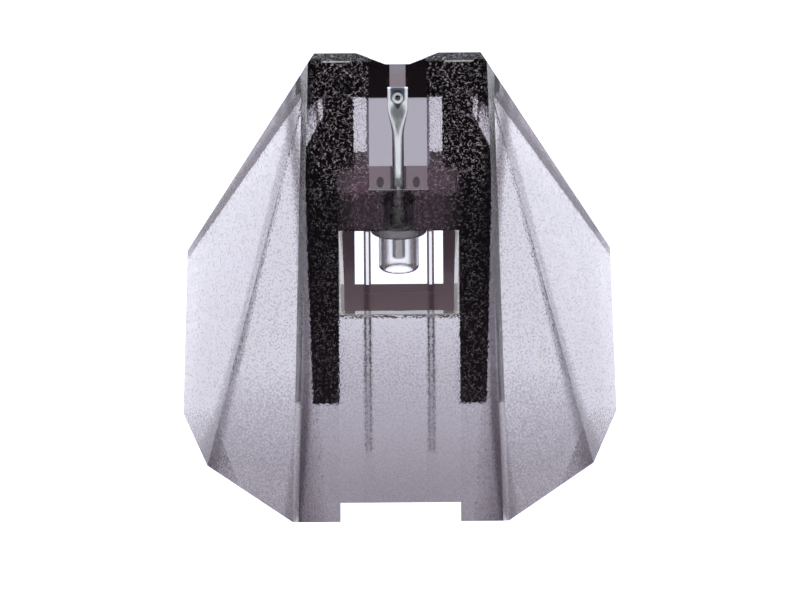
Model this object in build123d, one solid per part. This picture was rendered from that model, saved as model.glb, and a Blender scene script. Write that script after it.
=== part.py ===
from build123d import *
from math import cos, radians, sin
import os

# Plan outline of the housing: half widths, and stations back from the nose or ahead of the rear (nose at -Y)
LENGTH = 19.38
WIDTH = 18.0
NOSE_HALF = 3.44
SHOULDER_HALF = 8.78
SHOULDER_BACK = 8.09
HIP_AHEAD = 4.52
TAIL_AHEAD = 2.36
REAR_HALF = 4.48

# Heights above the seat of the centre frame
RIM_Z = 1.5
NOSE_Z = 7.5
RIDGE_NOSE_Z = 8.1
RIDGE_REAR_Z = 5.5
TAIL_RISE = 0.577
REAR_Z = 4.70

# Ridge along the middle of the housing
RIDGE_NOSE_HALF = 3.66
RIDGE_REAR_HALF = 4.24
RIDGE_DRAFT = 0.30
NOSE_BEVEL = 0.41
PAD_HALF = 3.15
PAD_BACK = 5.39
PAD_STEP = 0.08

# Wall thicknesses of the moulding
OUTER_WALL = 0.36
OUTER_TAIL_WALL = 0.68
OUTER_LIP = 1.50
INNER_WALL = 0.40
INNER_TAIL_WALL = 0.65
INNER_LIP = 1.75
OUTER_KNEE_AHEAD = 4.60
INNER_KNEE_AHEAD = 6.27
RIM_DROP = 0.90
ROOF_WALL = 0.68
ROOF_REAR_WALL = 2.00
RIDGE_WALL = 0.40
RIDGE_REAR_WALL = 2.20
FRONT_WALL_NOSE = 0.75
FRONT_WALL_SHOULDER = 0.32
LIP_WALL = 1.25
CHANNEL_WALL = 0.10
CHANNEL_FLOOR = 1.15
SIGHT_ROOF = 1.85
SHELF_FLOOR = 2.15

# Centre frame, channel and window
POCKET_HALF = 1.83
SOCKET_HALF = 2.49
COLUMN_FRONT_HALF = 3.90
COLUMN_HALF = 3.60
NOSE_BLOCK_HALF = 3.75
NOSE_FRAME_HALF = 3.10
NOSE_SIDE_BACK = 2.24
COLUMN_FRONT_BACK = 2.54
COLUMN_SIDE_BACK = 3.99
COLUMN_BACK = 14.44
POCKET_BACK = 1.79
SHELF_SIDE_BACK = 4.05
SHELF_BACK = 4.61
BLOCK_BACK = 7.35
BLOCK_Z = 1.60
CROSS_FRONT_BACK = 9.54
CROSS_REAR_BACK = 10.89
SOCKET_DROP = 1.45
CHANNEL_HALF = 1.20
CHANNEL_DEPTH = 1.50
CHANNEL_BACK = 5.64
CHANNEL_EASE = 0.09
WINDOW_BEVEL = 0.25
NOTCH_AHEAD = 0.79
FLUTE_HALF = 1.70
FLUTE_DEPTH = 0.46
FLUTE_FLAT = 0.50
SIGHT_HALF = 0.33
SIGHT_BACK = 0.40
RAIL_X = 1.31
RAIL_WIDTH = 0.29
RAIL_HEIGHT = 0.25
RAIL_DRAW = 0.085
RAIL_BACK = 16.43
PEG_X = 0.75
PEG_BACK = 5.23
PEG_LENGTH = 0.45
PEG_WIDTH = 0.30
PEG_DROP = 1.20

# Suspension: the pivot, the tilt of the tube and the tilt of the free cantilever
PIVOT_BACK = 6.74
PIVOT_DROP = 1.2958
TUBE_TILT = 19.0
ARM_TILT = 23.0
TUBE_RADIUS = 0.83
SHANK_FIT_RADIUS = 1.00
TUBE_BORE = 0.59
TUBE_FRONT = -0.75
TUBE_REAR = 2.29
TUBE_ROUND = 0.16
FLANGE_RADIUS = 1.15
FLANGE_SEAT = 0.25
FLANGE_THICK = 0.395
MATE_RADIUS = 1.40
EXIT_RADIUS = 0.50
DAMPER_RADIUS = 0.62
DAMPER_HALF = 0.50
DAMPER_FLARE = 0.15
ARM_RADIUS = 0.24
ARM_BORE = 0.19
ARM_REAR = 0.62
NECK_BACK = 3.85
NECK_FRONT = 5.00
ARM_FRONT = 5.79
PADDLE_WIDTH = 0.85
PADDLE_THICK = 0.20
DISH_WIDTH = 0.52
DISH_DEPTH = 0.06
COLLAR_RADIUS = 0.31
COLLAR_LENGTH = 0.44
MAGNET_RADIUS = 0.27
MAGNET_REAR = 1.78
SPIGOT_LENGTH = 0.50

# Stylus tip
TIP_S = 5.29
SHANK_RADIUS = 0.14
SHANK_RISE = 0.34
SHANK_DROP = 0.16
DIAMOND_HEIGHT = 0.26
DIAMOND_NECK = 0.11
DIAMOND_POINT = 0.018
BOND_RADIUS = 0.25
BOND_HEIGHT = 0.08

# Clearances
FIT_GAP = 0.01
TURN_GAP = 0.015
MATE_GAP = 0.05

FRONT_Y = -LENGTH / 2
REAR_Y = LENGTH / 2
SHOULDER_Y = FRONT_Y + SHOULDER_BACK
HIP_Y = REAR_Y - HIP_AHEAD
TAIL_Y = REAR_Y - TAIL_AHEAD
OUTER_KNEE_Y = REAR_Y - OUTER_KNEE_AHEAD
INNER_KNEE_Y = REAR_Y - INNER_KNEE_AHEAD
PAD_REAR_Y = FRONT_Y + PAD_BACK
NOSE_SIDE_Y = FRONT_Y + NOSE_SIDE_BACK
COLUMN_FRONT_Y = FRONT_Y + COLUMN_FRONT_BACK
COLUMN_SIDE_Y = FRONT_Y + COLUMN_SIDE_BACK
COLUMN_REAR_Y = FRONT_Y + COLUMN_BACK
POCKET_FRONT_Y = FRONT_Y + POCKET_BACK
SHELF_SIDE_Y = FRONT_Y + SHELF_SIDE_BACK
SHELF_FRONT_Y = FRONT_Y + SHELF_BACK
BLOCK_REAR_Y = FRONT_Y + BLOCK_BACK
CROSS_FRONT_Y = FRONT_Y + CROSS_FRONT_BACK
CROSS_REAR_Y = FRONT_Y + CROSS_REAR_BACK
CHANNEL_REAR_Y = FRONT_Y + CHANNEL_BACK
NOTCH_Y = REAR_Y - NOTCH_AHEAD
SIGHT_Y = FRONT_Y + SIGHT_BACK
RAIL_REAR_Y = FRONT_Y + RAIL_BACK
PEG_Y = FRONT_Y + PEG_BACK
PIVOT_Y = FRONT_Y + PIVOT_BACK
TALL = 12.0
REACH = 2 * LENGTH
CORE = Vector(0, 0, RIM_Z)
RIDGE_FALL = (RIDGE_NOSE_Z - RIDGE_REAR_Z) / LENGTH
TUBE_SIN, TUBE_COS = sin(radians(TUBE_TILT)), cos(radians(TUBE_TILT))
ARM_SIN, ARM_COS = sin(radians(ARM_TILT)), cos(radians(ARM_TILT))
PIVOT_Z = RIDGE_NOSE_Z - RIDGE_FALL * PIVOT_BACK - PIVOT_DROP
PIVOT = Vector(0, PIVOT_Y, PIVOT_Z)
TUBE_FRAME = Plane(PIVOT, x_dir=(1, 0, 0), z_dir=(0, TUBE_COS, -TUBE_SIN))
ARM_FRAME = Plane(PIVOT, x_dir=(1, 0, 0), z_dir=(0, -ARM_COS, ARM_SIN))
BOTTOM = (Align.CENTER, Align.CENTER, Align.MIN)


def ridge_z(y):
    """Height of the ridge top at a station."""
    return RIDGE_NOSE_Z - RIDGE_FALL * (y - FRONT_Y)


def outward(a, b, c):
    """Plane through three points, its normal pointing out of the housing."""
    normal = (b - a).cross(c - a).normalized()
    if normal.dot(CORE - a) > 0:
        normal = normal * -1
    return Plane(a, z_dir=normal)


def upright(a, b):
    """Upright plane through two points, its normal pointing out of the housing."""
    return outward(a, b, b + Vector(0, 0, -1))


def carve(planes, floor_z, tail_y):
    """Solid inside all the planes, from a floor height back to a rear station."""
    solid = Pos(0, tail_y - REACH / 2, floor_z) * Box(REACH, REACH, TALL, align=BOTTOM)
    for plane in planes:
        solid = split(solid, bisect_by=plane, keep=Keep.BOTTOM)
    return solid


def span(x0, x1, y0, y1, z0, z1):
    """Box between two corners."""
    middle = Pos((x0 + x1) / 2, (y0 + y1) / 2, (z0 + z1) / 2)
    return middle * Box(x1 - x0, y1 - y0, z1 - z0)


def pair(x0, x1, y0, y1, z0, z1):
    """The same box on both sides of the middle plane."""
    return span(x0, x1, y0, y1, z0, z1) + span(-x1, -x0, y0, y1, z0, z1)


def prism(points):
    """Upright solid on a plan outline, from the seat up."""
    return extrude(make_face(Polyline(*points, close=True)), TALL, dir=(0, 0, 1))


def corner_points(side):
    """Nose, shoulder, hip, tail and rear corners of the facets on one side."""
    nose = Vector(side * NOSE_HALF, FRONT_Y, NOSE_Z)
    shoulder = Vector(side * SHOULDER_HALF, SHOULDER_Y, RIM_Z)
    hip = Vector(side * WIDTH / 2, HIP_Y, RIM_Z)
    normal = outward(nose, shoulder, hip).z_dir
    tail_z = RIM_Z + TAIL_RISE * (TAIL_Y - HIP_Y)
    run = normal.Y * (TAIL_Y - SHOULDER_Y) + normal.Z * (tail_z - RIM_Z)
    tail = Vector(shoulder.X - run / normal.X, TAIL_Y, tail_z)
    rear = Vector(side * REAR_HALF, REAR_Y, REAR_Z)
    return nose, shoulder, hip, tail, rear


def ridge_side(side, inset_nose, inset_rear):
    """Drafted side plane of the ridge, moved in by an amount at each end."""
    top = Vector(side * RIDGE_NOSE_HALF, FRONT_Y, RIDGE_NOSE_Z)
    end = Vector(side * RIDGE_REAR_HALF, REAR_Y, RIDGE_REAR_Z)
    foot = end + Vector(side * RIDGE_DRAFT, 0, -1)
    normal = outward(top, end, foot).z_dir
    return outward(top - normal * inset_nose, end - normal * inset_rear, foot - normal * inset_rear)


def slope(y0, z0, y1, z1):
    """Plane level across the width, through a height at each of two stations."""
    return outward(Vector(-1, y0, z0), Vector(1, y0, z0), Vector(0, y1, z1))


def ridge_top():
    """Plane of the ridge top, falling towards the rear."""
    return slope(FRONT_Y, RIDGE_NOSE_Z, REAR_Y, RIDGE_REAR_Z)


def rear_roof():
    """Underside of the roof behind the window, where the wall thickens towards the rear."""
    return slope(CROSS_REAR_Y, ridge_z(CROSS_REAR_Y) - ROOF_WALL, REAR_Y, RIDGE_REAR_Z - ROOF_REAR_WALL)


def front_side(side, inset_nose, inset_shoulder):
    """Upright front wall plane from the nose to the shoulder, moved in by an amount at each end."""
    nose, shoulder = corner_points(side)[:2]
    along = Vector(shoulder.X - nose.X, shoulder.Y - nose.Y, 0).normalized()
    inward = Vector(-side * abs(along.Y), abs(along.X), 0)
    return upright(nose + inward * inset_nose, shoulder + inward * inset_shoulder)


def facet_planes():
    """Outer planes of the facets on both sides."""
    planes = []
    for side in (-1, 1):
        nose, shoulder, hip, tail, rear = corner_points(side)
        planes += [outward(nose, shoulder, hip), outward(nose, tail, rear)]
    return planes


def lipped(front, tail, normal, knee_y, lip):
    """Inner plane of a facet behind its knee line, down to the thick lip at the rear rim."""
    knee = front + (tail - front) * ((knee_y - front.Y) / (tail.Y - front.Y))
    return outward(knee, knee + Vector(normal.Z, 0, -normal.X), lip)


def facet_cavity_planes():
    """Inner planes of the facets, whose walls thicken towards the rear rim."""
    planes = []
    for side in (-1, 1):
        nose, shoulder, hip, tail, rear = corner_points(side)
        out = outward(nose, shoulder, hip).z_dir
        front, end = shoulder - out * OUTER_WALL, tail - out * OUTER_TAIL_WALL
        planes.append(outward(nose - out * OUTER_WALL, front, end))
        planes.append(lipped(front, end, out, OUTER_KNEE_Y, tail - out * OUTER_LIP))
        top = outward(nose, tail, rear).z_dir
        front, end = nose - top * INNER_WALL, tail - top * INNER_TAIL_WALL
        planes.append(outward(front, end, rear - top * INNER_TAIL_WALL))
        planes.append(lipped(front, end, top, INNER_KNEE_Y, rear - top * INNER_LIP))
    return planes


def outer_form():
    """Outside of the housing, closed, from the seat up."""
    front = Plane((0, FRONT_Y, 0), z_dir=(0, -1, 0))
    bevel = Plane((0, FRONT_Y, ridge_z(FRONT_Y) - NOSE_BEVEL), z_dir=(0, -1, 1))
    ends = [front, bevel, ridge_top()]
    for side in (-1, 1):
        shoulder, hip, tail, rear = corner_points(side)[1:]
        ends += [front_side(side, 0, 0), upright(shoulder, hip), upright(hip, tail), upright(tail, rear)]
    facets = carve(facet_planes() + ends, 0, REAR_Y)
    ridge = carve([ridge_side(s, 0, 0) for s in (-1, 1)] + ends, 0, REAR_Y)
    return facets + ridge


def cavity():
    """Hollow inside of the shell, open below and at the rear."""
    front = Plane((0, FRONT_Y + FRONT_WALL_NOSE, 0), z_dir=(0, -1, 0))
    sides = [front_side(s, FRONT_WALL_NOSE, FRONT_WALL_SHOULDER) for s in (-1, 1)]
    ends = [front, ridge_top().offset(-ROOF_WALL), rear_roof()] + sides
    facets = carve(facet_cavity_planes() + ends, -RIM_Z, REACH / 2)
    flanks = [ridge_side(s, RIDGE_WALL, RIDGE_REAR_WALL) for s in (-1, 1)]
    ridge = carve(flanks + ends, -RIM_Z, REACH / 2)
    return facets + ridge


def front_opening():
    """Space below the lip along the open front edge of the shell."""
    lips = [plane.offset(-LIP_WALL) for plane in facet_planes()]
    return carve(lips + [ridge_top().offset(-ROOF_WALL), rear_roof()], -RIM_Z, INNER_KNEE_Y)


def sloped_top(part, plane):
    """The part below a sloping plane."""
    return split(part, bisect_by=plane, keep=Keep.BOTTOM)


def channel_plane(depth):
    """Plane parallel to the ridge top at a depth below it."""
    return ridge_top().offset(-depth)


def socket_floor():
    """Plane under the plug tube, parallel to it, that the cartridge's tongue slides over."""
    up = Vector(0, TUBE_SIN, TUBE_COS)
    return Plane(PIVOT - up * SOCKET_DROP, z_dir=up)


def nose_block():
    """Solid nose, its rear corners slanted back."""
    right = [(NOSE_BLOCK_HALF, FRONT_Y), (NOSE_BLOCK_HALF, NOSE_SIDE_Y), (NOSE_FRAME_HALF, POCKET_FRONT_Y)]
    left = [(-x, y) for x, y in reversed(right)]
    return prism(right + left)


def column(side):
    """Deep wall beside the socket, a little wider at its slanted front."""
    front = [(SOCKET_HALF, COLUMN_FRONT_Y), (NOSE_FRAME_HALF, COLUMN_FRONT_Y)]
    outer = [(COLUMN_FRONT_HALF, COLUMN_SIDE_Y), (COLUMN_HALF, COLUMN_REAR_Y), (SOCKET_HALF, COLUMN_REAR_Y)]
    return prism([(side * x, y) for x, y in front + outer])


def shelf(half, front_y, depth):
    """Thick floor in front of the suspension block, down to a depth below the ridge top."""
    bar = span(-half, half, front_y, CHANNEL_REAR_Y, 0, TALL)
    return split(bar, bisect_by=channel_plane(depth), keep=Keep.TOP)


def pegs():
    """Two oval pegs under the rear end of the channel."""
    foot_z = ridge_z(PEG_Y) - CHANNEL_DEPTH - SHELF_FLOOR - PEG_DROP
    peg = extrude(Ellipse(PEG_WIDTH / 2, PEG_LENGTH / 2), PEG_DROP + SHELF_FLOOR / 2)
    return [Pos(side * PEG_X, PEG_Y, foot_z) * peg for side in (-1, 1)]


def rails(surface, y0, y1):
    """Two bars under a sloping surface, their sides drawn in towards the lower edge."""
    up = surface.z_dir
    outer, inner = RAIL_WIDTH / 2, RAIL_WIDTH / 2 - RAIL_DRAW
    points = [(-outer, FIT_GAP), (outer, FIT_GAP), (inner, -RAIL_HEIGHT), (-inner, -RAIL_HEIGHT)]
    bars = Part()
    for side in (-1, 1):
        start = Vector(side * RAIL_X, surface.origin.Y, surface.origin.Z)
        frame = Plane(start, x_dir=(1, 0, 0), z_dir=(0, -up.Z, up.Y))
        bars += extrude(frame * make_face(Polyline(*points, close=True)), REACH, both=True)
    return bars & span(-SOCKET_HALF, SOCKET_HALF, y0, y1, -TALL, TALL)


def centre_frame(form):
    """Nose block, side walls, suspension block, columns, ledges, cross wall and rails."""
    walls = nose_block()
    walls += pair(POCKET_HALF, NOSE_FRAME_HALF, POCKET_FRONT_Y, SHELF_FRONT_Y, 0, TALL)
    walls += span(-SOCKET_HALF, SOCKET_HALF, CHANNEL_REAR_Y, BLOCK_REAR_Y, BLOCK_Z, TALL)
    walls += [column(side) for side in (-1, 1)]
    trough_half = CHANNEL_HALF + CHANNEL_WALL
    trough = span(-trough_half, trough_half, POCKET_FRONT_Y, SHELF_FRONT_Y, 0, TALL)
    walls += split(trough, bisect_by=channel_plane(CHANNEL_DEPTH + CHANNEL_FLOOR), keep=Keep.TOP)
    under = CHANNEL_DEPTH + SHELF_FLOOR
    walls += shelf(SOCKET_HALF, SHELF_SIDE_Y, under) - shelf(trough_half, SHELF_SIDE_Y, TALL)
    walls += shelf(SOCKET_HALF, SHELF_FRONT_Y, under)
    walls += shelf(SIGHT_HALF, SHELF_FRONT_Y, under + PEG_DROP)
    walls += pegs()
    floor = socket_floor()
    ledges = pair(POCKET_HALF, SOCKET_HALF, CHANNEL_REAR_Y, CROSS_REAR_Y, 0, TALL)
    cross = span(-POCKET_HALF, POCKET_HALF, CROSS_FRONT_Y, CROSS_REAR_Y, 0, TALL)
    walls += sloped_top(ledges + cross, floor)
    walls += rails(floor, BLOCK_REAR_Y, CROSS_FRONT_Y)
    walls += rails(rear_roof(), CROSS_REAR_Y, RAIL_REAR_Y)
    return walls & form


def channel_cut():
    """Smooth channel that the cantilever swings in, its rear edge eased, with the sight slit below."""
    channel = span(-CHANNEL_HALF, CHANNEL_HALF, FRONT_Y - 1, CHANNEL_REAR_Y, 0, TALL)
    channel = split(channel, bisect_by=channel_plane(CHANNEL_DEPTH), keep=Keep.TOP)
    edge = span(-CHANNEL_HALF, CHANNEL_HALF, CHANNEL_REAR_Y, CHANNEL_REAR_Y + 1, 0, TALL)
    ease = Plane((0, CHANNEL_REAR_Y, ridge_z(CHANNEL_REAR_Y) - CHANNEL_EASE), z_dir=(0, -1, 1))
    channel += split(edge, bisect_by=ease, keep=Keep.TOP)
    slit = span(-SIGHT_HALF, SIGHT_HALF, SIGHT_Y, POCKET_FRONT_Y + FIT_GAP, -1, TALL)
    return channel + sloped_top(slit, channel_plane(CHANNEL_DEPTH + SIGHT_ROOF))


def flute_cut():
    """Upright flute down the middle of the nose."""
    right = [(FLUTE_FLAT, FRONT_Y + FLUTE_DEPTH), (FLUTE_HALF, FRONT_Y), (FLUTE_HALF, FRONT_Y - 1)]
    left = [(-x, y) for x, y in reversed(right)]
    return Pos(0, 0, -1) * prism(right + left)


def window_cut():
    """Window over the plug tube, bevelled on its sides and its rear edge."""
    y0, y1 = BLOCK_REAR_Y, CROSS_REAR_Y
    low_z = ridge_z(y1) - ROOF_WALL
    high_z = ridge_z(y0)
    inner = SOCKET_HALF - WINDOW_BEVEL
    low = [(-inner, y0), (inner, y0), (inner, y1 - WINDOW_BEVEL), (-inner, y1 - WINDOW_BEVEL)]
    high = [(-SOCKET_HALF, y0), (SOCKET_HALF, y0), (SOCKET_HALF, y1), (-SOCKET_HALF, y1)]
    faces = [Pos(0, 0, z) * make_face(Polyline(*p, close=True)) for z, p in ((low_z, low), (high_z, high))]
    return loft(Sketch() + faces) + span(-inner, inner, y0, y1 - WINDOW_BEVEL, low_z - ROOF_WALL, low_z)


def pad_step_cuts():
    """Shallow steps along the outer sides of the two nose pads."""
    strips = pair(PAD_HALF, RIDGE_NOSE_HALF + RIDGE_DRAFT, FRONT_Y - 1, PAD_REAR_Y, 0, TALL)
    return split(strips, bisect_by=channel_plane(PAD_STEP), keep=Keep.TOP)


def bore_cut():
    """Bore of the suspension block, spot face of the flange, room for the mating tongue and exit hole."""
    bore_length = FLANGE_SEAT - TUBE_FRONT
    bore = Pos(0, 0, TUBE_FRONT) * Cylinder(SHANK_FIT_RADIUS + FIT_GAP, bore_length, align=BOTTOM)
    spot = Pos(0, 0, FLANGE_SEAT) * Cylinder(FLANGE_RADIUS + FIT_GAP, FLANGE_THICK, align=BOTTOM)
    mate_start = FLANGE_SEAT + FLANGE_THICK - MATE_GAP
    mate = Pos(0, 0, mate_start) * Cylinder(MATE_RADIUS, 2 * TUBE_REAR, align=BOTTOM)
    exit_hole = Pos(0, 0, TUBE_FRONT - 1) * Cylinder(EXIT_RADIUS, 2, align=BOTTOM)
    return TUBE_FRAME * (bore + spot + mate + exit_hole)


def housing():
    form = outer_form()
    shell = split(form, bisect_by=Plane((0, 0, RIM_Z - RIM_DROP), z_dir=(0, 0, 1)), keep=Keep.TOP)
    body = shell - [cavity(), front_opening()] + centre_frame(form)
    notch = span(-SOCKET_HALF, SOCKET_HALF, NOTCH_Y, REAR_Y + 1, 0, TALL)
    return body - [channel_cut(), flute_cut(), window_cut(), pad_step_cuts(), bore_cut(), notch]


def plug_tube():
    """Clear tube: shank in the block, disc flange, plug behind; the damper sits in its counterbore."""
    tube = Pos(0, 0, TUBE_FRONT) * Cylinder(TUBE_RADIUS, TUBE_REAR - TUBE_FRONT, align=BOTTOM)
    tube = fillet(tube.edges().group_by(Axis.Z)[-1], TUBE_ROUND)
    tube += Pos(0, 0, TUBE_FRONT) * Cylinder(SHANK_FIT_RADIUS, FLANGE_SEAT - TUBE_FRONT, align=BOTTOM)
    tube += Pos(0, 0, FLANGE_SEAT) * Cylinder(FLANGE_RADIUS, FLANGE_THICK, align=BOTTOM)
    tube -= Cylinder(TUBE_BORE, REACH)
    seat_length = DAMPER_RADIUS - TUBE_FRONT + FIT_GAP
    tube -= Pos(0, 0, TUBE_FRONT) * Cylinder(DAMPER_RADIUS + TURN_GAP, seat_length, align=BOTTOM)
    return TUBE_FRAME * tube


def damper():
    """Rubber ball ring, its hole waisted at the pivot."""
    ball = Sphere(DAMPER_RADIUS) & Cylinder(DAMPER_RADIUS + 1, 2 * DAMPER_HALF)
    waist = ARM_RADIUS + TURN_GAP
    mouth = waist + DAMPER_FLARE
    for end in (0, 180):
        ball -= Rot(end, 0, 0) * Cone(waist, mouth, DAMPER_HALF + FIT_GAP, align=BOTTOM)
    return ARM_FRAME * ball


def collar():
    """Metal ring on the cantilever in front of the damper."""
    ring = Cylinder(COLLAR_RADIUS, COLLAR_LENGTH, align=BOTTOM) - Cylinder(ARM_RADIUS, 4 * COLLAR_LENGTH)
    return ARM_FRAME * Pos(0, 0, DAMPER_RADIUS) * ring


def tip_point():
    """Point on the cantilever's axis where the tip stands."""
    return ARM_FRAME.from_local_coords(Vector(0, 0, TIP_S))


def cantilever():
    """Aluminium tube with its front end pressed flat and dished."""
    tube = Pos(0, 0, -ARM_REAR) * Cylinder(ARM_RADIUS, ARM_REAR + NECK_BACK, align=BOTTOM)
    tube -= Pos(0, 0, -ARM_REAR) * Cylinder(ARM_BORE, ARM_REAR + NECK_BACK, align=BOTTOM)
    paddle_face = SlotOverall(PADDLE_WIDTH, PADDLE_THICK)
    neck = loft(Sketch() + [Pos(0, 0, NECK_BACK) * Circle(ARM_RADIUS), Pos(0, 0, NECK_FRONT) * paddle_face])
    paddle = Pos(0, 0, NECK_FRONT) * extrude(paddle_face, ARM_FRONT - NECK_FRONT)
    arm = tube + neck + paddle
    dish_radius = (DISH_WIDTH**2 / 4 + DISH_DEPTH**2) / (2 * DISH_DEPTH)
    dish = Cylinder(dish_radius, ARM_FRONT, align=BOTTOM)
    arm -= Pos(0, PADDLE_THICK / 2 - DISH_DEPTH + dish_radius, NECK_FRONT) * dish
    hole = Pos(*tip_point()) * Cylinder(SHANK_RADIUS + FIT_GAP, 1)
    return ARM_FRAME * arm - hole


def magnet():
    """Magnet pin behind the cantilever, its spigot inside the tube."""
    pin = Pos(0, 0, -MAGNET_REAR) * Cylinder(MAGNET_RADIUS, MAGNET_REAR - ARM_REAR, align=BOTTOM)
    pin += Pos(0, 0, -ARM_REAR) * Cylinder(ARM_BORE - FIT_GAP, SPIGOT_LENGTH, align=BOTTOM)
    return ARM_FRAME * pin


def tip_shank():
    """Metal pin through the paddle."""
    pin = Pos(0, 0, -SHANK_DROP) * Cylinder(SHANK_RADIUS, SHANK_DROP + SHANK_RISE, align=BOTTOM)
    return Pos(*tip_point()) * pin


def diamond_tip():
    """Diamond cone on the shank."""
    cone = Cone(DIAMOND_NECK, DIAMOND_POINT, DIAMOND_HEIGHT, align=BOTTOM)
    return Pos(*tip_point()) * Pos(0, 0, SHANK_RISE) * cone


def tip_bond(arm):
    """Cement ring round the shank, cast on the dished paddle."""
    ring = Cone(BOND_RADIUS, SHANK_RADIUS + BOND_HEIGHT / 2, PADDLE_THICK + BOND_HEIGHT, align=BOTTOM)
    ring = Pos(*tip_point()) * ring - Pos(*tip_point()) * Cylinder(SHANK_RADIUS, 2)
    ring -= arm
    return ring.solids().sort_by(Axis.Z)[-1]


def build():
    """Write every piece in its place."""
    os.makedirs("parts", exist_ok=True)
    arm = cantilever()
    pieces = {
        "housing": housing(),
        "plug_tube": plug_tube(),
        "damper": damper(),
        "collar": collar(),
        "cantilever": arm,
        "magnet": magnet(),
        "tip_shank": tip_shank(),
        "diamond_tip": diamond_tip(),
        "tip_bond": tip_bond(arm),
    }
    for name, piece in pieces.items():
        export_step(piece, f"parts/{name}.step")


build()
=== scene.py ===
import bmesh
import bpy
from math import cos, pi, radians, sin
from mathutils import Matrix, Vector


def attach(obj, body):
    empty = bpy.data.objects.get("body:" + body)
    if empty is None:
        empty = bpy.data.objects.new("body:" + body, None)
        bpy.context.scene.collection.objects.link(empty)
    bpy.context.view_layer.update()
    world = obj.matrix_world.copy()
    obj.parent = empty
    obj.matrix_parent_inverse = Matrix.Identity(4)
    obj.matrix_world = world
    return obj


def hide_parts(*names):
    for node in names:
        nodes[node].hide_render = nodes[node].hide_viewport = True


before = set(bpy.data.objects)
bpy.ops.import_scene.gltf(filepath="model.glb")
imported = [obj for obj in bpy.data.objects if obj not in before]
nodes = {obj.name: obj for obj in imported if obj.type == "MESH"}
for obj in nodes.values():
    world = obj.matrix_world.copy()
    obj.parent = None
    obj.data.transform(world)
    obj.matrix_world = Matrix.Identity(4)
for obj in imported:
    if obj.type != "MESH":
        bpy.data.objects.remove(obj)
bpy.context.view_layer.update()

MM = 0.001
PIXEL = 0.0415 * MM
CAMERA_HEIGHT = 1.0
SHARP_HEIGHT = 2.5 * MM
CAMERA_ROLL = radians(0.44)
AIM_X = -0.033 * MM
AIM_Y = 0.519 * MM

# Places on the object, in millimetres: the pivot, the ridge top's line and the cantilever's stations
PIVOT = Vector((0, -2.95, 5.90))
TUBE_TILT = radians(19)
ARM_TILT = radians(23)
RIDGE_Z = 6.80
RIDGE_FALL = 2.6 / 19.38
PAD_HALF = 3.60
NOSE_PAD_Y = -4.2
BEVEL_REAR_Y = -9.33
SOCKET_HALF = 2.515
SOCKET_Z = 4.62
CROSS_REAR_Y = 1.0
COLUMN_REAR_Y = 4.85
ARM_RADIUS = 0.24
NECK_BACK = 3.60
NECK_FRONT = 5.00
ARM_FRONT = 5.79
PADDLE_HALF = 0.425
PADDLE_HALF_THICK = 0.10
DISH_DEPTH = 0.075
DISH_BACK = 4.45
DISH_FULL = 5.05
DISH_TIP_Y = -7.30
DISH_WIDE_Y = -7.75
TIP_S = 5.29

SMOKE = (0.20, 0.14, 0.19)
SMOKE_DENSITY = 1.0


class Look:
    """A node material built on one Principled shader."""

    def __init__(self, name):
        self.material = bpy.data.materials.new(name)
        self.material.use_nodes = True
        self.tree = self.material.node_tree
        self.shader = self.tree.nodes["Principled BSDF"]
        self.output = self.tree.nodes["Material Output"]
        self.place = self.tree.nodes.new("ShaderNodeTexCoord").outputs["Object"]

    def set(self, **values):
        for key, value in values.items():
            self.shader.inputs[key.replace("_", " ")].default_value = value

    def node(self, kind, links=None, **settings):
        made = self.tree.nodes.new(kind)
        for key, value in settings.items():
            setattr(made, key, value)
        for key, value in (links or {}).items():
            if isinstance(value, bpy.types.NodeSocket):
                self.tree.links.new(value, made.inputs[key])
            else:
                made.inputs[key].default_value = value
        return made

    def noise(self, size, detail=3.0, place=None):
        """Noise whose grains are about size metres."""
        links = {"Vector": place or self.place, "Scale": 1.0 / size, "Detail": detail, "Roughness": 0.6}
        return self.node("ShaderNodeTexNoise", links).outputs["Fac"]

    def stretch(self, source, low, high, in_low=0.3, in_high=0.7):
        links = {"Value": source, "From Min": in_low, "From Max": in_high, "To Min": low, "To Max": high}
        return self.node("ShaderNodeMapRange", links).outputs["Result"]

    def math(self, operation, *values):
        made = self.node("ShaderNodeMath", dict(enumerate(values)), operation=operation)
        return made.outputs["Value"]

    def above(self, source, edge, soft=0.015):
        """One where the source is over the edge, else zero."""
        return self.stretch(source, 0.0, 1.0, edge - soft, edge + soft)

    def below(self, source, edge, soft=0.015):
        return self.stretch(source, 1.0, 0.0, edge - soft, edge + soft)

    def within(self, source, low, high, soft=0.015):
        return self.math("MULTIPLY", self.above(source, low, soft), self.below(source, high, soft))

    def product(self, first, *others):
        for other in others:
            first = self.math("MULTIPLY", first, other)
        return first

    def mix_colour(self, factor, first, second):
        made = self.node("ShaderNodeMix", data_type="RGBA")
        self.tree.links.new(factor, made.inputs[0])
        made.inputs[6].default_value = (*first, 1)
        made.inputs[7].default_value = (*second, 1)
        return made.outputs[2]

    def multiply(self, first, second):
        """Product of two colours."""
        made = self.node("ShaderNodeMix", data_type="RGBA", blend_type="MULTIPLY")
        made.inputs[0].default_value = 1.0
        self.tree.links.new(first, made.inputs[6])
        self.tree.links.new(second, made.inputs[7])
        return made.outputs[2]

    def link(self, source, socket):
        self.tree.links.new(source, self.shader.inputs[socket])

    def bump(self, height, depth, strength=1.0):
        links = {"Height": height, "Distance": depth, "Strength": strength}
        self.link(self.node("ShaderNodeBump", links).outputs["Normal"], "Normal")

    def absorb(self, colour, per_mm):
        made = self.node("ShaderNodeVolumeAbsorption", {"Color": (*colour, 1), "Density": per_mm / MM})
        self.tree.links.new(made.outputs["Volume"], self.output.inputs["Volume"])


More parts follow.
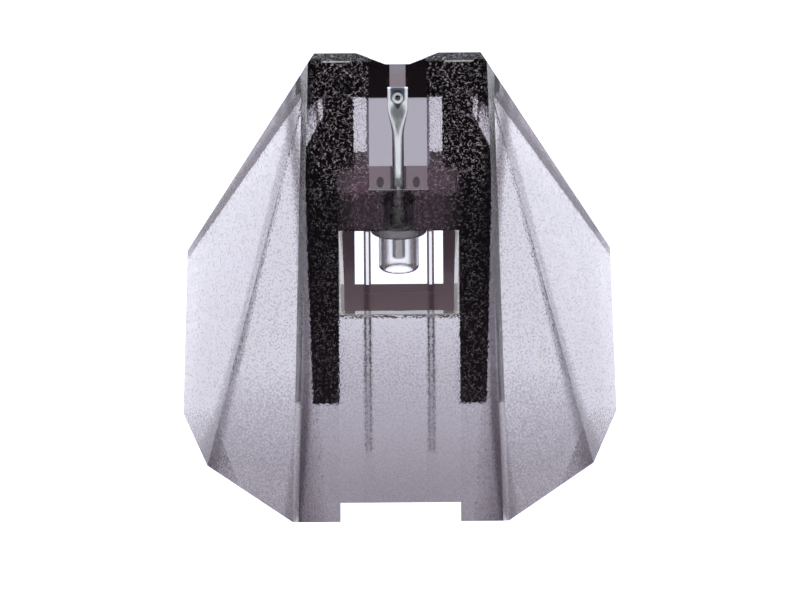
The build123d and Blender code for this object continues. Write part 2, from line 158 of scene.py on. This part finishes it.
def millimetres(look):
    """The place on the object in millimetres: distance from the middle plane, then Y and Z."""
    scaled = look.node("ShaderNodeVectorMath", {0: look.place, 1: (1 / MM,) * 3}, operation="MULTIPLY")
    spot = look.node("ShaderNodeSeparateXYZ", {"Vector": scaled.outputs["Vector"]}).outputs
    return look.math("ABSOLUTE", spot["X"]), spot["Y"], spot["Z"]


def shaded_band(look, across, along, middle, slope, curve, half, growth):
    """Mask along a curve across = middle + slope y + curve y^2, whose half width grows with y."""
    bend = look.math("MULTIPLY_ADD", along, curve, slope)
    offset = look.math("ABSOLUTE", look.math("SUBTRACT", across, look.math("MULTIPLY_ADD", along, bend, middle)))
    return look.stretch(look.math("DIVIDE", offset, look.math("MULTIPLY_ADD", look.math("MAXIMUM", along, 0.0), growth, half)), 1.0, 0.0, 0.3, 1.0)


def shade(look, colour, mask, tone):
    """Multiply a colour by a tone where the mask is one."""
    return look.multiply(colour, look.mix_colour(mask, (1.0, 1.0, 1.0), tone))


def smoky_plastic():
    """Smoky plastic with a spark-eroded skin: fine on the facets, coarse on the dark pads, polished in the middle;
    with painted glint streaks and painted edge highlights, and painted shade on the socket floor, along the facet
    fold, the ridge's side wall and the rail lines.
    """
    look = Look("smoky_plastic")
    look.set(IOR=1.5)
    across, along, up = millimetres(look)
    sunk = look.math("MULTIPLY_ADD", along, RIDGE_FALL, up)
    aside = look.above(across, SOCKET_HALF)
    front = look.below(along, CROSS_REAR_Y)
    bevel = look.below(along, BEVEL_REAR_Y)
    skin = look.math("MAXIMUM", look.math("MAXIMUM", look.above(sunk, RIDGE_Z - 0.045), aside), bevel)
    pads = look.product(skin, look.below(across, PAD_HALF, 0.2), look.below(along, COLUMN_REAR_Y),
                        look.math("MAXIMUM", aside, front))
    window = look.product(look.below(across, 1.5), look.within(along, -2.4, -0.12))
    # Socket floor below the window's span: painted warm shade, standing in for the colour light takes through the
    # thick floor.
    socket_floor_shade = look.product(look.below(up, SOCKET_Z), look.below(across, SOCKET_HALF), front,
                        look.math("SUBTRACT", 1.0, window))

    pits = look.noise(0.105 * MM, 0.0)
    grit = look.noise(0.075 * MM, 0.0)
    haze = look.stretch(look.noise(0.6 * MM, 3.0), 0.05, 0.12)
    ribs = look.product(look.within(across, 1.10, 1.52), look.below(sunk, RIDGE_Z - 0.5),
                        look.above(along, CROSS_REAR_Y + 0.1), look.stretch(along, 0.35, 0.9, 1.0, 5.0))
    look.link(look.math("ADD", look.math("MULTIPLY_ADD", skin, 0.05, haze), ribs), "Roughness")
    coarse = look.product(look.math("SUBTRACT", pits, 0.5), pads, 0.3)
    fine = look.product(look.math("SUBTRACT", grit, 0.5), skin, 0.25)
    look.bump(look.math("ADD", coarse, fine), 0.05 * MM)
    # Painted glints: white diffuse streaks where the transmission drops, strongest at the nose pads and faint on the
    # rear columns, kept mostly off the ring.
    glint = look.stretch(along, 0.47, 0.14, NOSE_PAD_Y - 0.8, NOSE_PAD_Y + 0.8)
    glint_streak_lines = look.below(look.math("ABSOLUTE", look.math("SUBTRACT", pits, 0.5)), 0.045, 0.03)
    ring = look.product(look.below(across, 0.68, 0.08), look.above(along, -3.98, 0.08))
    painted_glints = look.product(pads, glint, glint_streak_lines, look.above(look.noise(0.14 * MM, 0.0), 0.48, 0.06),
                           look.math("MULTIPLY_ADD", ring, -0.8, 1.0))
    milky = look.product(look.below(across, 2.2, 0.4), look.above(along, -4.9, 0.6), look.below(along, -2.4),
                         look.math("SUBTRACT", 1.0, ring), skin)
    # Painted edge highlights: white lines along the window's side and rear edges, a short cross line near the nose
    # and the nose bevel's rear edge.
    side_edge_highlights = look.product(look.within(across, 2.27, 2.48), look.within(along, -2.35, 1.10))
    rear_edge_highlight = look.product(look.below(across, 2.48), look.within(along, 0.93, 1.12))
    lip_highlight = look.product(look.below(across, 1.22), look.within(along, -4.13, -4.03))
    brow_highlight = look.product(look.within(across, 1.95, 3.10), look.within(along, BEVEL_REAR_Y - 0.03, BEVEL_REAR_Y + 0.03))
    window_edge_highlights = look.math("MAXIMUM", side_edge_highlights, rear_edge_highlight)
    painted_edge_highlights = look.product(look.math("MAXIMUM", window_edge_highlights, look.math("MAXIMUM", lip_highlight, brow_highlight)),
                         look.above(sunk, RIDGE_Z - 0.75))
    # Transmission drops for a slight milkiness over the bar, for the painted glints and for the painted edge
    # highlights.
    cloud = look.math("MAXIMUM", look.math("MULTIPLY_ADD", milky, 0.045, painted_glints), look.product(painted_edge_highlights, 0.75))
    look.link(look.math("SUBTRACT", 1.0, cloud), "Transmission Weight")

    even = look.product(look.below(across, 3.7, 0.1), look.above(along, COLUMN_REAR_Y, 0.8))
    grain = look.product(skin, look.stretch(grit, 1.0, 0.0, 0.35, 0.60), look.math("MULTIPLY_ADD", even, -0.45, 1.0))
    colour = look.mix_colour(grain, (1.0, 1.0, 1.0), (0.66, 0.66, 0.67))
    # Painted warm shade on the socket floor.
    colour = shade(look, colour, socket_floor_shade, (1.0, 0.82, 0.74))
    colour = shade(look, colour, milky, (1.0, 0.78, 0.92))
    # Purple tint of the painted glint streaks on the pads.
    colour = shade(look, colour, look.product(pads, glint_streak_lines), (1.0, 0.82, 0.93))
    # Painted shade in a band along the fold between the outer and inner facets, widening toward the rear.
    crease_shade = shaded_band(look, across, along, 5.97, 0.247, 0.0, 0.15, 0.036)
    colour = shade(look, colour, crease_shade, (0.50, 0.49, 0.51))
    # Painted shade in a band along the ridge's side wall, beside the columns.
    step_shade = shaded_band(look, across, along, 3.8465, -0.0227, 0.0076, 0.30, 0.0)
    colour = shade(look, colour, step_shade, (0.46, 0.43, 0.45))
    # Painted shade lines along the two rails on the socket floor, just behind the window.
    rail_shade = look.product(shaded_band(look, across, along, 1.345, 0.0, 0.0, 0.16, 0.0), socket_floor_shade,
                         look.within(along, -0.12, 0.90))
    colour = shade(look, colour, rail_shade, (0.50, 0.46, 0.48))
    look.link(colour, "Base Color")
    look.absorb(SMOKE, SMOKE_DENSITY)
    return look.material


def clear_plastic():
    look = Look("clear_polished")
    look.set(Transmission_Weight=1.0, IOR=1.49)
    haze = look.noise(0.3 * MM, 3.0)
    across, along, up = millimetres(look)
    drop = look.math("MULTIPLY", look.math("SUBTRACT", up, PIVOT.z), -sin(TUBE_TILT))
    back = look.math("MULTIPLY_ADD", look.math("SUBTRACT", along, PIVOT.y), cos(TUBE_TILT), drop)
    flange = look.within(back, 0.20, 0.66)
    look.link(look.math("MULTIPLY_ADD", flange, 0.4, look.stretch(haze, 0.14, 0.24)), "Roughness")
    colour = look.mix_colour(haze, (0.90, 0.90, 0.92), (1.0, 1.0, 1.0))
    look.link(shade(look, colour, flange, (0.94, 0.91, 0.94)), "Base Color")
    look.absorb((0.40, 0.36, 0.42), 0.22)
    return look.material


def rubber():
    look = Look("black_rubber")
    look.set(Specular_IOR_Level=0.1)
    grain = look.noise(0.06 * MM, 4.0)
    look.link(look.mix_colour(grain, (0.002, 0.0025, 0.003), (0.010, 0.011, 0.013)), "Base Color")
    look.link(look.stretch(grain, 0.55, 0.8), "Roughness")
    look.bump(grain, 0.01 * MM, 0.4)
    return look.material


def drawn_metal(name, low, high, rough_low, rough_high):
    """Metal drawn along the cantilever, with fine lines along its length."""
    look = Look(name)
    look.set(Metallic=1.0)
    stretched = look.node("ShaderNodeMapping", {"Vector": look.place, "Scale": (1.0, 0.06, 0.3)})
    lines = look.noise(0.03 * MM, 2.0, stretched.outputs["Vector"])
    look.link(look.mix_colour(lines, low, high), "Base Color")
    look.link(look.stretch(lines, rough_low, rough_high), "Roughness")
    look.bump(lines, 0.004 * MM, 0.3)
    return look


def pressed_metal():
    """Drawn aluminium whose dished middle is darkened by painted shade, standing in for its dark reflection."""
    look = drawn_metal("bright_aluminium", (0.66, 0.70, 0.75), (0.88, 0.91, 0.95), 0.26, 0.40)
    across, along, up = millimetres(look)
    half = look.stretch(along, 0.33, 0.0, DISH_WIDE_Y, DISH_TIP_Y)
    # Painted shade darkens the pressed middle of the paddle, in a V that narrows toward the neck.
    dish_shade = look.product(look.above(look.math("SUBTRACT", half, across), 0.04, 0.04), look.below(along, DISH_TIP_Y))
    metal = look.shader.inputs["Base Color"].links[0].from_socket
    look.link(shade(look, metal, dish_shade, (0.17, 0.20, 0.25)), "Base Color")
    return look.material


def diamond():
    look = Look("diamond")
    look.set(Transmission_Weight=1.0, IOR=2.4)
    cloud = look.noise(0.05 * MM)
    look.link(look.mix_colour(cloud, (0.9, 0.93, 0.97), (1.0, 1.0, 1.0)), "Base Color")
    look.link(look.stretch(cloud, 0.01, 0.05), "Roughness")
    return look.material


def cement():
    look = Look("cement")
    look.set(Transmission_Weight=0.05, IOR=1.5)
    cloud = look.noise(0.06 * MM)
    look.link(look.mix_colour(cloud, (0.90, 0.91, 0.92), (1.0, 1.0, 1.0)), "Base Color")
    look.link(look.stretch(cloud, 0.1, 0.25), "Roughness")
    look.bump(cloud, 0.006 * MM, 0.3)
    return look.material


def local_frame(origin, axis):
    """Matrix from millimetres in a frame along an axis to the row frame."""
    across = Vector((1, 0, 0))
    turn = Matrix((across, axis.cross(across), axis)).transposed().to_4x4()
    return Matrix.Scale(MM, 4) @ Matrix.Translation(origin) @ turn


TUBE_FRAME = local_frame(PIVOT, Vector((0, cos(TUBE_TILT), -sin(TUBE_TILT))))
ARM_FRAME = local_frame(PIVOT, Vector((0, -cos(ARM_TILT), sin(ARM_TILT))))
TIP = PIVOT + TIP_S * Vector((0, -cos(ARM_TILT), sin(ARM_TILT)))
TIP_FRAME = local_frame(TIP, Vector((0, 0, 1)))


def add_piece(name, rings, matrix, node, body, material, hollow):
    """Skin rings of points, closed end to end if hollow, else capped, as the shown form of a CAD node."""
    build = bmesh.new()
    loops = [[build.verts.new(matrix @ Vector(p)) for p in ring] for ring in rings]
    pairs = list(zip(loops, loops[1:])) + ([(loops[-1], loops[0])] if hollow else [])
    count = len(rings[0])
    for first, second in pairs:
        for i in range(count):
            j = (i + 1) % count
            build.faces.new((first[i], first[j], second[j], second[i]))
    if not hollow:
        build.faces.new(loops[0])
        build.faces.new(loops[-1])
    bmesh.ops.recalc_face_normals(build, faces=build.faces)
    mesh = bpy.data.meshes.new(name)
    build.to_mesh(mesh)
    build.free()
    mesh.shade_smooth()
    mesh.set_sharp_from_angle(angle=radians(35))
    mesh.materials.append(material)
    piece = bpy.data.objects.new(name, mesh)
    bpy.context.collection.objects.link(piece)
    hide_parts(node)
    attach(piece, body)


def turned(profile, count=72):
    """Rings of a turned form, from its profile of radius and height."""
    turns = [2 * pi * i / count for i in range(count)]
    return [[(r * cos(a), r * sin(a), t) for a in turns] for r, t in profile]


def arc(radius, middle_r, middle_t, start, end, steps=8):
    """Profile points round an arc, by angles in degrees from the outward direction."""
    angles = [radians(start + (end - start) * i / steps) for i in range(steps + 1)]
    return [(middle_r + radius * cos(a), middle_t + radius * sin(a)) for a in angles]


def arm_ring(s, count=64):
    """Cross-section of the cantilever: a round tube that is pressed flat and dished towards the tip."""
    w = min(max((s - NECK_BACK) / (NECK_FRONT - NECK_BACK), 0.0), 1.0)
    w = w * w * (3 - 2 * w)
    pressed = min(max((s - DISH_BACK) / (DISH_FULL - DISH_BACK), 0.0), 1.0)
    points = []
    for i in range(count):
        a = 2 * pi * i / count
        flat_x = PADDLE_HALF * abs(cos(a)) ** 0.7 * (1 if cos(a) > 0 else -1)
        flat_y = PADDLE_HALF_THICK * abs(sin(a)) ** 0.5 * (1 if sin(a) > 0 else -1)
        x = (1 - w) * ARM_RADIUS * cos(a) + w * flat_x
        y = (1 - w) * ARM_RADIUS * sin(a) + w * flat_y
        half = (1 - w) * ARM_RADIUS + w * PADDLE_HALF
        hollow = max(0.0, 1 - (x / (0.74 * half)) ** 2) ** 0.7
        points.append((x, y - (DISH_DEPTH * w * pressed * hollow if y > 0 else 0), s))
    return points


def suspension():
    """Finer forms of the small turned and pressed pieces."""
    tube = [(1.0, -0.75), (1.0, 0.25), (1.15, 0.25), (1.15, 0.645), (0.83, 0.645)]
    tube += arc(0.16, 0.67, 2.13, 0, 90) + [(0.59, 2.29), (0.59, 0.63), (0.635, 0.63), (0.635, -0.75)]
    add_piece("clear_tube", turned(tube), TUBE_FRAME, "plug_tube", "housing",
              clear_plastic(), True)
    ring = arc(0.62, 0, 0, -50, 50, 24) + [(0.255, 0.0)]
    add_piece("rubber_ring", turned(ring), ARM_FRAME, "damper", "damper", rubber(), True)

    bright = pressed_metal()
    stations = [-0.62 + 0.1 * i for i in range(43)] + [NECK_BACK + 0.05 * i for i in range(1, 44)]
    rings = [arm_ring(min(s, ARM_FRONT)) for s in stations]
    add_piece("pressed_tube", rings, ARM_FRAME, "cantilever", "cantilever", bright, False)
    dull = drawn_metal("dull_aluminium", (0.90, 0.92, 0.95), (1.0, 1.0, 1.0), 0.5, 0.7)
    dull.set(Metallic=0.35)
    band = [(0.24, 0.62), (0.285, 0.62), (0.31, 0.645), (0.31, 1.035), (0.285, 1.06), (0.24, 1.06)]
    add_piece("ring_collar", turned(band), ARM_FRAME, "collar", "cantilever", dull.material, True)

    grey = drawn_metal("magnet_grey", (0.50, 0.50, 0.53), (0.68, 0.68, 0.71), 0.35, 0.5).material
    pin =[(0.001, -1.78), (0.24, -1.78), (0.27, -1.75), (0.27, -0.62), (0.001, -0.62)]
    add_piece("magnet_pin", turned(pin), ARM_FRAME, "magnet", "cantilever", grey, False)
    steel = drawn_metal("shank_metal", (0.5, 0.5, 0.53), (0.7, 0.7, 0.73), 0.2, 0.35).material
    stem = [(0.001, -0.16), (0.14, -0.16), (0.14, 0.32), (0.12, 0.34), (0.001, 0.34)]
    add_piece("steel_stem", turned(stem), TIP_FRAME, "tip_shank", "cantilever", steel, False)
    point = [(0.001, 0.34), (0.11, 0.34)] + arc(0.018, 0, 0.582, 25, 88, 5)
    add_piece("diamond_point", turned(point), TIP_FRAME, "diamond_tip", "cantilever", diamond(), False)
    fillet = [(0.14, 0.02), (0.225, 0.02)] + arc(0.035, 0.19, 0.20, 0, 120, 6) + [(0.14, 0.25)]
    add_piece("cement_ring", turned(fillet), TIP_FRAME, "tip_bond", "cantilever", cement(), True)


def dress_housing():
    housing = nodes["housing"]
    housing.data.materials.clear()
    housing.data.materials.append(smoky_plastic())


def light_table():
    """Pale floor that glows softly, as the photo's white ground does."""
    bpy.ops.mesh.primitive_plane_add(size=1.2, location=(0, 0, -0.00002))
    floor = bpy.context.object
    floor.name = "floor"
    look = Look("pale_floor")
    tone = look.noise(0.05, 2.0)
    look.link(look.mix_colour(tone, (0.86, 0.86, 0.87), (0.88, 0.88, 0.89)), "Base Color")
    look.set(Roughness=0.9, Emission_Color=(0.98, 1.0, 1.12, 1), Emission_Strength=1.14)
    floor.data.materials.append(look.material)


def soft_lamp(name, place, width, height, energy):
    """Oval area lamp that points at the object."""
    lamp = bpy.data.lights.new(name, "AREA")
    lamp.shape = "ELLIPSE"
    lamp.size = width
    lamp.size_y = height
    lamp.energy = energy
    holder = bpy.data.objects.new(name, lamp)
    holder.location = place
    holder.rotation_euler = (-Vector(place)).to_track_quat("-Z", "Y").to_euler()
    bpy.context.collection.objects.link(holder)


def studio():
    """Room that is pale at the horizon and dim overhead, with a wide panel behind the object and two side lamps."""
    world = bpy.data.worlds.new("studio")
    world.use_nodes = True
    tree = world.node_tree
    sky = tree.nodes["Background"]
    sky.inputs["Color"].default_value = (0.95, 0.97, 1.0, 1)
    parts = tree.nodes.new("ShaderNodeSeparateXYZ")
    fade = tree.nodes.new("ShaderNodeMapRange")
    for key, value in {"From Min": 0.1, "From Max": 0.55, "To Min": 0.85, "To Max": 0.05}.items():
        fade.inputs[key].default_value = value
    tree.links.new(tree.nodes.new("ShaderNodeTexCoord").outputs["Generated"], parts.inputs["Vector"])
    tree.links.new(parts.outputs["Z"], fade.inputs["Value"])
    tree.links.new(fade.outputs["Result"], sky.inputs["Strength"])
    bpy.context.scene.world = world
    soft_lamp("rear_panel", (0, 0.225, 0.20), 0.7, 0.10, 0.23)
    for name, side in (("left_lamp", -1), ("right_lamp", 1)):
        soft_lamp(name, (0.19 * side, 0.03, 0.21), 0.10, 0.10, 0.20)


def photo_camera():
    camera = bpy.data.cameras.new("camera")
    camera.sensor_width = 36.0
    camera.lens = camera.sensor_width * (CAMERA_HEIGHT - SHARP_HEIGHT) / (800 * PIXEL)
    camera.clip_start = 0.01
    camera.clip_end = 10.0
    holder = bpy.data.objects.new("camera", camera)
    holder.location = (AIM_X, AIM_Y, CAMERA_HEIGHT)
    holder.rotation_euler = (0, 0, pi - CAMERA_ROLL)
    bpy.context.collection.objects.link(holder)
    bpy.context.scene.camera = holder


dress_housing()
suspension()
light_table()
studio()
photo_camera()

scene = bpy.context.scene
scene.view_settings.view_transform = "Standard"
scene.cycles.use_denoising = True
scene.cycles.max_bounces = 24
scene.cycles.transmission_bounces = 24
scene.cycles.transparent_max_bounces = 16
